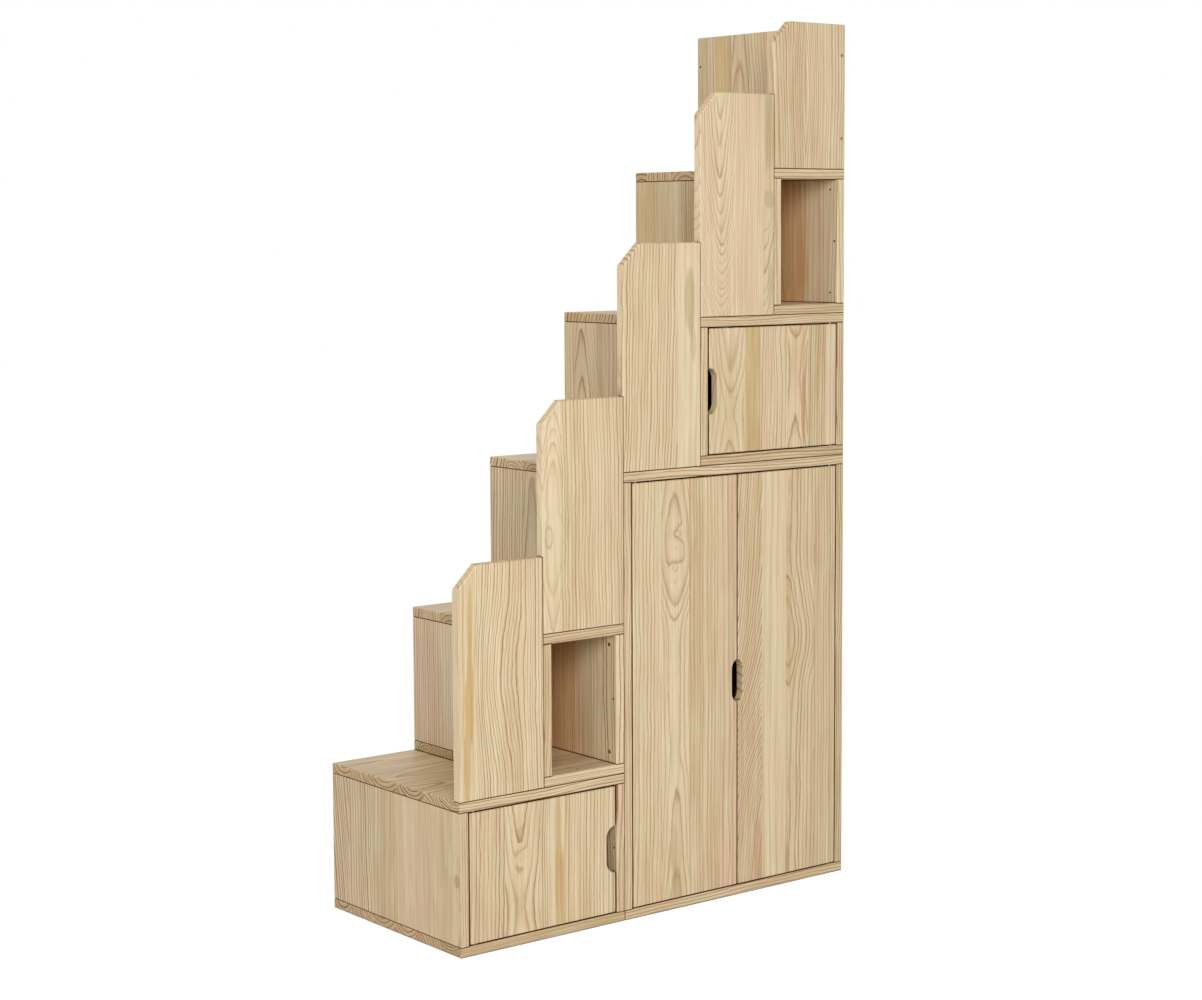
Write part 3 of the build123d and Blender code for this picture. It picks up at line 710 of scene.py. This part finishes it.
CHOSEN = {
    "guard_1": (
        [straight(40, heart=-70, ring=10, tone=0.5, bold=0.4),
         straight(160, heart=-130, depth=8, ring=7, tone=0.5)],
        [Figure("streak", 190, 25, 190, 22, 0.95), Figure("streak", 70, 19, 240, 13, 0.9),
         Figure("streak", 330, 26, 190, 9, 0.8), Figure("knot", 235, 92, 60, 22, 0.0)]),
    "guard_2": (
        [arches(46, heart=2, depth=10, ring=6.5, tone=0.9, bold=0.45,
                course=[(0, 25), (130, 2), (180, -4), (230, 0), (450, 38)]),
         straight(154, heart=-120, depth=12, ring=8, lean=3, tone=0.3, bold=0.9)],
        [Figure("knot", 187, 15, 25, 11, 0.35)]),
    "guard_3": (
        [straight(139, heart=-100, depth=5, ring=8, tone=0.5, warm=0.2,
                  course=[(0, 20), (160, 8), (300, 2), (450, 0)]),
         straight(61, heart=60, ring=16, tone=0.7, bold=0.3)],
        [Figure("streak", 333, 172, 150, 30, 0.7, OLIVE), Figure("streak", 250, 182, 90, 16, 0.5, OLIVE),
         Figure("streak", 234, 80, 90, 9, 0.4)]),
    "guard_4": (
        [arches(91, heart=9, depth=11, ring=5.5, tone=1.0, warm=0.6, bold=0.65,
                course=[(0, 68), (60, 44), (120, 26), (200, 8), (300, -5), (450, -20)]),
         straight(80, ring=6, tone=1.0, warm=0.9, bold=0.45),
         arches(29, heart=-14, depth=8, ring=9, tone=0.2, bold=0.7,
                course=[(0, 60), (170, 5), (200, 0), (450, 0)])],
        [Figure("streak", 385, 186, 190, 30, 0.7, OLIVE), Figure("streak", 237, 186, 40, 30, 0.7, OLIVE),
         Figure("streak", 60, 188, 110, 20, 0.45, OLIVE)]),
    "guard_5": (
        [straight(88, heart=-80, ring=8, lean=18, tone=0.2, warm=0.4),
         straight(112, ring=8, lean=8, tone=0.4, warm=0.5, bold=0.9)],
        [Figure("knot", 150, 84, 70, 16, 0.0)]),
    "end_board": (
        [straight(98, ring=9, tone=-0.3, bold=0.6), straight(103, ring=9, bold=0.5),
         arches(113, heart=32, depth=14, ring=9, tone=-0.1,
                course=[(0, -25), (208, 0), (300, 10)]),
         straight(14, ring=5, tone=-0.8, bold=1.2), straight(41, ring=16, tone=-1.0, bold=0.2),
         straight(20, ring=7, tone=0.2, bold=1.1), straight(41, ring=12, tone=-0.6, bold=0.5)],
        [Figure("streak", 150, 349, 700, 46, 0.6), Figure("streak", 150, 300, 120, 20, 0.4, OLIVE),
         Figure("streak", 150, 415, 900, 60, 0.4, OLIVE)]),
    "low_top": (
        [Stave(60, -10, 70, 4, 5.5, 0.2, 0.0, 1.4), Stave(60, 40, -38, 20, 8),
         Stave(90, -6, 42, 90, 9.5, -0.5, 0.0, 1.4), Stave(86, 8, 60, -50, 10, -0.2),
         Stave(88, -60, 50, 10, 10, -0.5, 0.2), Stave(66, -10, 30, 40, 9, -0.1)],
        [Figure("streak", 100, 235, 240, 70, 0.35, OLIVE)]),
    "low_floor": (
        [Stave(62, 6, 60, 3, 5.5, -1.0, 0.0, 1.2), Stave(90, 80, -46, 20, 9, -0.4),
         Stave(70, -4, 34, 90, 9, -0.1), Stave(80, 14, 44, -50, 10, -0.4),
         Stave(78, -90, 44, 50, 9, -0.2), Stave(70, 4, 30, 50, 10, -0.4)],
        [Figure("streak", 180, 30, 700, 90, 0.4, OLIVE)]),
    "low_side_right": (
        [aslant(50, ring=6, warm=1.0, bold=1.2), straight(200, ring=9, tone=-0.2), straight(200, ring=9)],
        []),
    "tall_side_left": (
        [aslant(50, heart=20, ring=6, bold=1.1), straight(100, ring=8, bold=0.8), straight(110, ring=9),
         arches(72, heart=7, depth=16, ring=9, tone=-0.1, bold=0.7,
                course=[(0, -50), (600, -12), (844, 0)]),
         straight(118, ring=9, tone=0.1, bold=1.5)],
        []),
    "upper_side_left": (
        [aslant(50, ring=6, tone=0.1, bold=1.2), straight(170, ring=9, tone=-0.2),
         straight(89, ring=13, tone=-0.1, warm=1.0, bold=0.6),
         straight(26, ring=14, tone=-1.0, bold=0.3),
         arches(77, heart=17, depth=14, lean=120, ring=7, tone=-0.1),
         straight(38, ring=9, tone=-0.2, bold=0.8)],
        [Figure("streak", 130, 322, 700, 26, 0.4, OLIVE)]),
    "upper_niche_side_left": (
        [aslant(50, ring=6, tone=0.3, bold=1.2), straight(130, ring=8), straight(70, ring=8, tone=-0.2),
         straight(44, ring=7, tone=-1.0, bold=1.3), straight(81, ring=16, bold=0.15),
         straight(75, ring=7.5, tone=-0.4, bold=0.9)],
        [Figure("streak", 130, 412, 700, 74, 0.4), Figure("streak", 130, 334, 700, 90, 0.25, OLIVE)]),
    "door_low": (
        [straight(81, heart=-80, tone=-0.1, warm=0.5),
         arches(84, heart=-3, depth=20, ring=9, tone=0.5, warm=0.2, bold=0.9,
                course=[(0, -3), (22, 0), (55, 1.5), (87, 0), (120, -5), (156, -8), (183, -9),
                        (236, -14), (255, -16)]),
         straight(22, ring=6.5, tone=0.2, bold=1.2), straight(15, ring=14, tone=0.7, bold=0.4),
         straight(27, ring=14, tone=0.1, bold=0.4), straight(124, ring=7.5, tone=0.3, bold=0.85)],
        [Figure("streak", 95, 214, 165, 26, 0.85), Figure("streak", 205, 213, 150, 14, 0.6),
         Figure("streak", 20, 215, 80, 17, 0.75), Figure("streak", 95, 216, 110, 12, 0.45, RUSSET),
         Figure("knot", 152, 121, 9, 7, 0.2)]),
    "door_tall_left": (
        [straight(73, heart=-70, ring=9, lean=-6, tone=0.3, bold=0.7),
         arches(73, depth=20, ring=7.5, tone=0.5, bold=0.65,
                course=[(0, -14), (70, -8), (150, -3), (240, 0), (400, 2), (556, 0), (589, -6),
                        (623, -13), (662, -22), (710, -28), (760, -28), (810, -22), (854, -14)]),
         straight(83, heart=110, ring=9, lean=1), straight(46.5, ring=12, tone=-0.6, warm=1.0, bold=0.6)],
        [Figure("knot", 745, 116, 8, 9, 0.4), Figure("knot", 678, 110, 10, 8, 0.4),
         Figure("streak", 105, 103, 110, 24, 0.4, OLIVE), Figure("pin", 85, 256, 26, 4, 0.3)]),
    "door_tall_right": (
        [arches(66, heart=50, depth=10, ring=6.5, tone=-0.2, warm=0.3, bold=1.1,
                course=[(0, -98), (100, -85), (200, -68), (280, -40), (380, 2), (480, 40), (560, 60),
                        (650, 70), (750, 76), (854, 86)]),
         straight(67, ring=18, tone=0.7, bold=0.3),
         arches(82, heart=-36, depth=6, ring=10, tone=0.1,
                course=[(0, 4), (200, 0), (340, 3), (403, 0), (457, -20), (510, -28), (560, -20),
                        (605, -10), (660, 0), (760, 3), (854, 0)]),
         straight(60.5, heart=120, ring=8, tone=-0.1, bold=0.9)],
        [Figure("streak", 812, 52, 70, 16, 0.5), Figure("streak", 705, 54, 60, 10, 0.4),
         Figure("streak", 590, 142, 62, 14, 0.55), Figure("streak", 505, 142, 90, 9, 0.5, RUSSET),
         Figure("streak", 416, 142, 50, 12, 0.5), Figure("streak", 822, 143, 44, 12, 0.35, RUSSET),
         Figure("streak", 60, 54, 150, 26, 0.45, RUSSET)]),
    "door_upper": (
        [arches(96, heart=8, depth=20, ring=8, tone=0.4, bold=0.6,
                course=[(0, -9), (59, 0), (90, 1.5), (123, 0), (167, -8), (240, -17), (255, -18)]),
         straight(41, ring=16, tone=-0.9, bold=0.25),
         straight(78, heart=-60, ring=7.5, tone=0.5, warm=0.5, bold=0.9),
         arches(57, heart=-10, depth=14, ring=10, tone=0.6, warm=0.4, bold=0.8,
                course=[(0, -8), (35, 0), (120, 4), (210, 0), (255, -14)]),
         straight(50, ring=6.5, tone=-0.4, bold=1.2),
         straight(31, ring=12, tone=0.6, warm=0.8, bold=0.3)],
        [Figure("streak", 125, 117, 600, 36, 0.55), Figure("streak", 82, 258, 170, 11, 0.8, RUSSET),
         Figure("streak", 215, 258, 110, 15, 0.5), Figure("streak", 200, 233, 110, 14, 0.35),
         Figure("streak", 123, 56, 24, 14, 0.4), Figure("knot", 222, 190, 26, 9, 0.0)]),
    "low_side_left": (
        [aslant(28, heart=10, depth=90, ring=6, bold=1.4), straight(47, ring=18, tone=-0.3, bold=0.1),
         straight(150, ring=17, tone=-0.5, warm=0.5, bold=0.2),
         straight(80, ring=11, tone=-0.7, bold=0.6), straight(40, ring=8, tone=-0.1, bold=1.8),
         straight(45, ring=9, bold=1.3), straight(60, ring=8, lean=110, tone=0.1, bold=2.0)],
        [Figure("streak", 127, 12, 26, 22, 0.45, KNOT), Figure("streak", 150, 262, 500, 30, 0.3, OLIVE)]),
    "lower_niche_side_right": (
        [aslant(44, ring=7, tone=1.0, bold=1.3), straight(34, ring=12, tone=1.0, bold=0.5),
         straight(32, ring=12, bold=0.4), straight(20, ring=14, tone=1.0, warm=1.0, bold=0.3),
         straight(320, ring=7, tone=0.6, warm=0.5, bold=1.1)],
        [Figure("streak", 130, 94, 700, 34, 0.2, OLIVE),
         # painted warm shade on the inner face of the niche wall
         Figure("face", 130, 330, 4000, 460, 0.55, WARM_NICHE_SHADE)]),
    "upper_niche_side_right": (
        [aslant(30, ring=7, tone=0.8, bold=0.9), straight(31, ring=11, tone=1.0, warm=1.0, bold=0.5),
         straight(25, ring=12, tone=1.0, warm=0.2, bold=0.2),
         straight(64, ring=12, tone=0.2, warm=0.4, bold=0.4),
         arches(100, heart=10, lean=80, ring=7, tone=0.3, bold=1.1), straight(200, ring=9)],
        # painted warm shade on the inner face of the niche wall
        [Figure("face", 130, 300, 4000, 440, 0.6, WARM_NICHE_SHADE)]),
}
print("boards with chosen staves:", len(CHOSEN))


# %% Finish the boards
def clothe(node_name, material):
    """Give a CAD piece its finish."""
    slots = nodes[node_name].data.materials
    slots.clear()
    slots.append(material)


def finish_board(node_name, grain, across):
    staves, figures = CHOSEN.get(node_name, (None, ()))
    clothe(node_name, pine(node_name, grain, across, staves, figures))


for level in LEVELS + ("tall_shelf",):
    finish_board(level, X, Y)
for side in SIDES + ("end_board",):
    finish_board(side, Z, Y)
for front in GUARDS + tuple(f"door_{door}" for door in DOORS):
    finish_board(front, Z, X)
print("finishes after the boards:", len(bpy.data.materials))

# %% [markdown]
# ## Thin backs and hidden joints
# A back is plywood: sheets peeled from a turning log and glued crosswise. Peeling follows
# the rings, so its figure is wide and lazy, and only its edge shows the layers. The loose
# tenons are beech, whose sign is a rain of short dark flecks.

# %% Plywood and beech
PLY_LIGHT = screen(222, 200, 160)
PLY_DARK = screen(194, 162, 116)
PLY_CORE = screen(170, 134, 92)
BEECH = screen(206, 168, 126)
BEECH_FLECK = screen(160, 112, 74)


def plywood(node_name):
    low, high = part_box(node_name)
    sheet = finish_sheet("plywood_" + node_name)
    x, y, z = sheet.split(sheet.point())
    lazy = sheet.noise(sheet.vector(x * 5.0, low[X] * 7.0, z * 1.3), 1.0, 2.0)
    fine = sheet.noise(sheet.vector(x * 500.0, y * 500.0, z * 8.0), 1.0, 2.0, 0.6)
    peel = (lazy * 9.0 + x * 6.0 + fine * 0.05).part()
    flame = peel.between(0.35, 0.95) * (1.0 - peel.between(0.95, 1.0)) * 0.5
    colour = sheet.mix(flame + fine * 0.35 + 0.1, PLY_LIGHT, PLY_DARK)
    middle = abs(y - (low[Y] + high[Y]) / 2) / ((high - low)[Y] / 2)
    core = 1.0 - middle.between(0.30, 0.36)
    colour = sheet.mix(core, colour, PLY_CORE)
    return sheet.finish(colour, 0.62, fine, 0.06 * MM)


def beech(name):
    sheet = finish_sheet(name)
    x, y, z = sheet.split(sheet.point())
    fleck = sheet.noise(sheet.vector(x * 260.0, y * 900.0, z * 260.0), 1.0, 1.0)
    tone = sheet.noise(sheet.vector(x * 30.0, y * 90.0, z * 30.0), 1.0, 2.0)
    colour = sheet.mix(fleck.between(0.10, 0.22) * 0.6 + tone * 0.3 + 0.1, BEECH, BEECH_FLECK)
    return sheet.finish(colour, 0.58, fleck, 0.05 * MM)


tenon_beech = beech("beech")
for box in BOXES:
    clothe(f"{box}_back", plywood(f"{box}_back"))
    clothe(f"{box}_tenons", tenon_beech)
clothe("guard_tenons", tenon_beech)
print("finishes after the backs and tenons:", len(bpy.data.materials))

# %% [markdown]
# ## Metal and plastic
# The fittings are small and mass made. Zinc on a screw is yellowish, dull and blotchy, nickel
# on a pin or a plate is brighter with a faint grain from rolling, and the moulded bushes and
# catches have a fine even skin.

# %% Metal and plastic
# The colour of painted shade in a recess
RECESS_SHADE = screen(44, 30, 16)


def metal(name, light, dark, roughness):
    sheet = finish_sheet(name)
    point = sheet.point()
    blotch = sheet.noise(point, 700.0, 3.0)
    grain = sheet.noise(point, 4000.0, 1.0)
    colour = sheet.mix((blotch + 0.5).between(0.3, 0.7), dark, light)
    # Painted shade darkens the recesses, such as the cross of a screw head
    colour = sheet.mix(1.0 - sheet.openness(2 * MM).between(0.3, 0.8), colour, RECESS_SHADE)
    return sheet.finish(colour, roughness + blotch * 0.16, grain, 0.02 * MM, metallic=1.0)


def plastic(name, colour, roughness):
    sheet = finish_sheet(name)
    skin = sheet.noise(sheet.point(), 2500.0, 2.0)
    shade = tuple(value * 0.86 for value in colour[:3]) + (1.0,)
    colour = sheet.mix(skin + 0.4, colour, shade)
    return sheet.finish(colour, roughness + skin * 0.1, skin, 0.02 * MM)


zinc = metal("zinc", screen(206, 184, 140), screen(168, 146, 104), 0.48)
nickel = metal("nickel", screen(196, 194, 188), screen(170, 168, 162), 0.32)
brown_nylon = plastic("brown_nylon", screen(122, 92, 62), 0.48)
brown_catch = plastic("brown_catch", screen(104, 72, 46), 0.42)

for door in DOORS:
    clothe(f"pivot_pins_{door}", nickel)
    clothe(f"strike_plate_{door}", nickel)
clothe("catch_poles", nickel)
clothe("shelf_pins", nickel)
clothe("pivot_bushes", brown_nylon)
clothe("magnet_catches", brown_catch)
print("finishes of the fittings:", [finish.name for finish in (zinc, nickel, brown_nylon, brown_catch)])

# %% [markdown]
# ## Screws
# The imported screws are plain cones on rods. Here each becomes a real countersunk screw with
# a cross recess, a thread and a point. One screw of each kind is modelled, and a geometry
# tree sets a copy at every head, turned by chance as a driver would leave it.

# %% A mesh from rings of points
def add_ring(mesh, radius, height, sides):
    ring = []
    for step in range(sides):
        angle = math.tau * step / sides
        ring.append(mesh.verts.new((radius * math.cos(angle), radius * math.sin(angle), height)))
    return ring


def join_rings(mesh, first, second):
    for step in range(len(first)):
        after = (step + 1) % len(first)
        mesh.faces.new((first[step], second[step], second[after], first[after]))


def mesh_object(name, build):
    """An object whose mesh is drawn by build."""
    mesh = bpy.data.meshes.new(name)
    drawing = bmesh.new()
    build(drawing)
    bmesh.ops.recalc_face_normals(drawing, faces=drawing.faces)
    drawing.to_mesh(mesh)
    drawing.free()
    return new_object(name, mesh)


# %% One screw
CROSS_CORNERS = 12
SCREW_SIDES = 2 * CROSS_CORNERS
CROSS_ARM, CROSS_HALF_WIDTH, CROSS_DEPTH = 0.52, 0.13, 0.42    # shares of the head's radius
CROSS_FLOOR_X, CROSS_FLOOR_Y = 0.55, 0.8    # the floor of the cross, as shares of its mouth
HEAD_RIM = 0.12                             # how thick the rim is, as a share of its radius
HEAD_CONE = 1.05                            # how deep the cone below it is, by its width
SHANK = 0.3                                 # the share of the length that has no thread
GROOVE_SHARE = 0.55                         # the share of a turn in which the thread goes in
CORE, LAST_TURN, TIP = 0.72, 0.66, 0.05     # shares of the root's radius


def cross_outline(radius):
    """Corners of the cross in a head of this radius."""
    arm, half = CROSS_ARM * radius, CROSS_HALF_WIDTH * radius
    quarter = [(arm, -half), (arm, half), (half, half)]
    points = []
    for turn in range(4):
        for x, y in quarter:
            for _ in range(turn):
                x, y = -y, x
            points.append((x, y))
    return points


def build_screw(mesh, head, root, length, crown, thread):
    """Head up at height 0, shaft downwards. crown lifts the middle of the head, and thread
    is the length of one turn."""
    rim = add_ring(mesh, head, 0.0, SCREW_SIDES)
    outline = cross_outline(head)
    mouth = [mesh.verts.new((x, y, crown)) for x, y in outline]
    bottom = crown - CROSS_DEPTH * head
    floor = [mesh.verts.new((x * CROSS_FLOOR_X, y * CROSS_FLOOR_Y, bottom)) for x, y in outline]
    for step in range(CROSS_CORNERS):
        after = (step + 1) % CROSS_CORNERS
        mesh.faces.new((mouth[step], mouth[after], floor[after], floor[step]))
        before, beside, beyond = (rim[(2 * step + side) % SCREW_SIDES] for side in (-1, 0, 1))
        mesh.faces.new((mouth[step], before, beside, beyond, mouth[after]))
    mesh.faces.new(floor)
    height = -length * SHANK
    profile = [(head, -HEAD_RIM * head), (root, -(head - root) * HEAD_CONE), (root, height)]
    while height - thread > -length + 3 * thread:
        profile.append((root * CORE, height - thread * GROOVE_SHARE))
        height -= thread
        profile.append((root, height))
    profile.append((root * LAST_TURN, height - thread))
    profile.append((root * TIP, -length))
    last = rim
    for radius, level in profile:
        ring = add_ring(mesh, radius, level, SCREW_SIDES)
        join_rings(mesh, last, ring)
        last = ring
    mesh.faces.new(last)


# %% Geometry trees
class Growth:
    """A geometry tree: the few moves that this lesson needs."""

    def __init__(self, name, sockets):
        self.tree = bpy.data.node_groups.new(name, "GeometryNodeTree")
        side = self.tree.interface
        side.new_socket(name="Start", in_out="INPUT", socket_type="NodeSocketGeometry")
        side.new_socket(name="Result", in_out="OUTPUT", socket_type="NodeSocketGeometry")
        self.keys = {}
        for label, kind in sockets.items():
            made = side.new_socket(name=label, in_out="INPUT", socket_type=kind)
            self.keys[label] = made.identifier
        self.start = self.tree.nodes.new("NodeGroupInput")
        self.end = self.tree.nodes.new("NodeGroupOutput")

    def node(self, kind, settings, inputs, output=0):
        made = self.tree.nodes.new(kind)
        for name, value in settings.items():
            setattr(made, name, value)
        for key, value in inputs.items():
            if isinstance(value, bpy.types.NodeSocket):
                self.tree.links.new(value, made.inputs[key])
            else:
                made.inputs[key].default_value = value
        return made.outputs[output]

    def finish(self, geometry):
        """Real geometry with its material, ready to be kept."""
        real = self.node("GeometryNodeRealizeInstances", {}, {0: geometry})
        named = self.start.outputs["Finish"]
        done = self.node("GeometryNodeSetMaterial", {}, {"Geometry": real, "Material": named})
        self.tree.links.new(done, self.end.inputs[0])

    def grow(self, thing, values):
        """Run the tree on an object and keep its result as a plain mesh."""
        modifier = thing.modifiers.new("grow", "NODES")
        modifier.node_group = self.tree
        for label, value in values.items():
            modifier[self.keys[label]] = value
        bpy.context.view_layer.update()
        graph = bpy.context.evaluated_depsgraph_get()
        result = bpy.data.meshes.new_from_object(thing.evaluated_get(graph))
        thing.modifiers.remove(modifier)
        thing.data = result
        return thing


# %% Copies at points
def plant_tree():
    """Copies of one object at every point, each along the point's own direction."""
    tree = Growth("plant", {"Thing": "NodeSocketObject", "Seed": "NodeSocketInt",
                            "Finish": "NodeSocketMaterial"})
    source = tree.node("GeometryNodeObjectInfo", {}, {"Object": tree.start.outputs["Thing"]},
                       "Geometry")
    way = tree.node("GeometryNodeInputNamedAttribute", {"data_type": "FLOAT_VECTOR"},
                    {"Name": "way"})
    aimed = tree.node("FunctionNodeAlignRotationToVector", {"axis": "Z"}, {"Vector": way})
    spin = tree.node("FunctionNodeRandomValue", {"data_type": "FLOAT"},
                     {2: 0.0, 3: math.tau, "Seed": tree.start.outputs["Seed"]}, 1)
    axis = tree.node("FunctionNodeAxisAngleToRotation", {}, {"Axis": (0, 0, 1), "Angle": spin})
    turned = tree.node("FunctionNodeRotateRotation", {"rotation_space": "LOCAL"},
                       {0: aimed, 1: axis})
    placed = tree.node("GeometryNodeInstanceOnPoints", {},
                       {"Points": tree.start.outputs["Start"], "Instance": source,
                        "Rotation": turned})
    tree.finish(placed)
    return tree


planting = plant_tree()


def plant(name, places, thing, finish, seed):
    """A piece made of copies of thing, one at each (point, outward direction)."""
    mesh = bpy.data.meshes.new(name)
    mesh.from_pydata([point for point, _ in places], [], [])
    ways = mesh.attributes.new("way", "FLOAT_VECTOR", "POINT")
    for item, (_, way) in zip(ways.data, places):
        item.vector = way
    piece = new_object(name, mesh)
    planting.grow(piece, {"Thing": thing, "Seed": seed, "Finish": finish})
    print(name, len(places), "copies,", len(piece.data.polygons), "faces")
    return piece


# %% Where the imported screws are
def loose_parts(node_name):
    """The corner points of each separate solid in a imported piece."""
    drawing = bmesh.new()
    drawing.from_mesh(nodes[node_name].data)
    bmesh.ops.remove_doubles(drawing, verts=drawing.verts, dist=0.001 * MM)
    parts, seen = [], set()
    for first in drawing.verts:
        if first in seen:
            continue
        group, edge = [], [first]
        seen.add(first)
        while edge:
            vert = edge.pop()
            group.append(vert.co.copy())
            for link in vert.link_edges:
                other = link.other_vert(vert)
                if other not in seen:
                    seen.add(other)
                    edge.append(other)
        parts.append(group)
    drawing.free()
    return parts


def head_place(points):
    """Where a screw's head is, which way it faces, and how long the screw is."""
    low = Vector(min(p[i] for p in points) for i in range(3))
    high = Vector(max(p[i] for p in points) for i in range(3))
    size, middle = high - low, (low + high) / 2
    axis = max(range(3), key=lambda i: size[i])
    spread = {}
    for end, level in ((-1, low[axis]), (1, high[axis])):
        spread[end] = max((p - middle).length for p in points if abs(p[axis] - level) < 0.1 * MM)
    face = max(spread, key=spread.get)
    way = Vector((0, 0, 0))
    way[axis] = face
    point = middle.copy()
    point[axis] = high[axis] if face > 0 else low[axis]
    return point, way, size[axis]


# %% The driven screws
SCREW_HEAD, SCREW_ROOT, SCREW_THREAD = 4.15 * MM, 1.95 * MM, 1.9 * MM

for number, node_name in enumerate(("joining_screws", "guard_screws", "end_board_screws")):
    found = [head_place(part) for part in loose_parts(node_name)]
    length = found[0][2]
    model = mesh_object("screw_model", lambda mesh: build_screw(
        mesh, SCREW_HEAD, SCREW_ROOT, length, 0.0, SCREW_THREAD))
    screws = plant(f"{node_name}_driven", [(point, way) for point, way, _ in found], model,
                   zinc, seed=number)
    bpy.data.objects.remove(model)
    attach(screws, "root")
    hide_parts(node_name)

# %% [markdown]
# ## Small screws and pins
# Catches and strike plates come with their own small screws, and a thin back is pinned into
# its rebate all round. Their places are worked out from the pieces that they hold.

# %% Screws of the catches and plates
SMALL_HEAD, SMALL_ROOT, SMALL_LENGTH, SMALL_THREAD = 2.4 * MM, 1.1 * MM, 9 * MM, 0.9 * MM
SMALL_CROWN = 0.35 * MM
EAR_MIDDLE, EAR_THICKNESS = 19 * MM, 4 * MM    # of a catch: its ear from its middle
PLATE_SCREW = 15.2 * MM                        # from the middle of a strike plate

small_screw = mesh_object("small_screw", lambda mesh: build_screw(
    mesh, SMALL_HEAD, SMALL_ROOT, SMALL_LENGTH, SMALL_CROWN, SMALL_THREAD))
catch_low, catch_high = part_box("magnet_catches")
catch_y = (catch_low[Y] + catch_high[Y]) / 2
catch_places = []
for door in DOORS:
    plate_low, plate_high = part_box(f"strike_plate_{door}")
    plate = (plate_low + plate_high) / 2
    body = f"door_{door}_leaf"
    spots = [(Vector((plate.x + side * PLATE_SCREW, plate_high[Y], plate.z)), Vector((0, 1, 0)))
             for side in (-1, 1)]
    screws = plant(f"strike_screws_{door}", spots, small_screw, nickel, seed=7)
    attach(screws, body)
    box = {"low": "low", "tall_left": "tall", "tall_right": "tall", "upper": "upper"}[door]
    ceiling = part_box(f"{box}_top")[0][Z]
    catch_places += [(Vector((plate.x + side * EAR_MIDDLE, catch_y, ceiling - EAR_THICKNESS)),
                      Vector((0, 0, -1))) for side in (-1, 1)]
catch_screws = plant("catch_screws", catch_places, small_screw, nickel, seed=8)
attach(catch_screws, "root")
bpy.data.objects.remove(small_screw)

# %% Pins round each back
PIN_HEAD, PIN_LENGTH, PIN_SPACING, PIN_INSET = 1.5 * MM, 16 * MM, 110 * MM, 4.2 * MM
PIN_SIDES = 12
PIN_SINK = 0.02 * MM       # how far the heads lie below the face of the back


def build_pin(mesh):
    """A panel pin: a flat small head on a thin shaft."""
    rings = [(PIN_HEAD * 0.5, 0.0), (PIN_HEAD, -0.15 * MM), (PIN_HEAD, -0.5 * MM),
             (PIN_HEAD * 0.4, -0.9 * MM), (PIN_HEAD * 0.4, -PIN_LENGTH * 0.9),
             (PIN_HEAD * 0.04, -PIN_LENGTH)]
    last = None
    for radius, level in rings:
        ring = add_ring(mesh, radius, level, PIN_SIDES)
        if last:
            join_rings(mesh, last, ring)
        else:
            mesh.faces.new(ring)
        last = ring
    mesh.faces.new(last)


def pins_round(node_name):
    """Places of the pins along the four edges of a back."""
    low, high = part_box(node_name)
    y = high[Y] - PIN_SINK
    left, right = low[X] + PIN_INSET, high[X] - PIN_INSET
    foot, head = low[Z] + PIN_INSET, high[Z] - PIN_INSET
    corners = [Vector((x, y, z)) for x, z in ((left, foot), (right, foot), (right, head),
                                              (left, head))]
    places = []
    for start, stop in zip(corners, corners[1:] + corners[:1]):
        count = max(1, round((stop - start).length / PIN_SPACING))
        places += [(start.lerp(stop, step / count), Vector((0, 1, 0))) for step in range(count)]
    return places


pin = mesh_object("panel_pin", build_pin)
pin_places = [place for box in BOXES for place in pins_round(f"{box}_back")]
pins = plant("back_pins", pin_places, pin, zinc, seed=9)
bpy.data.objects.remove(pin)
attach(pins, "root")
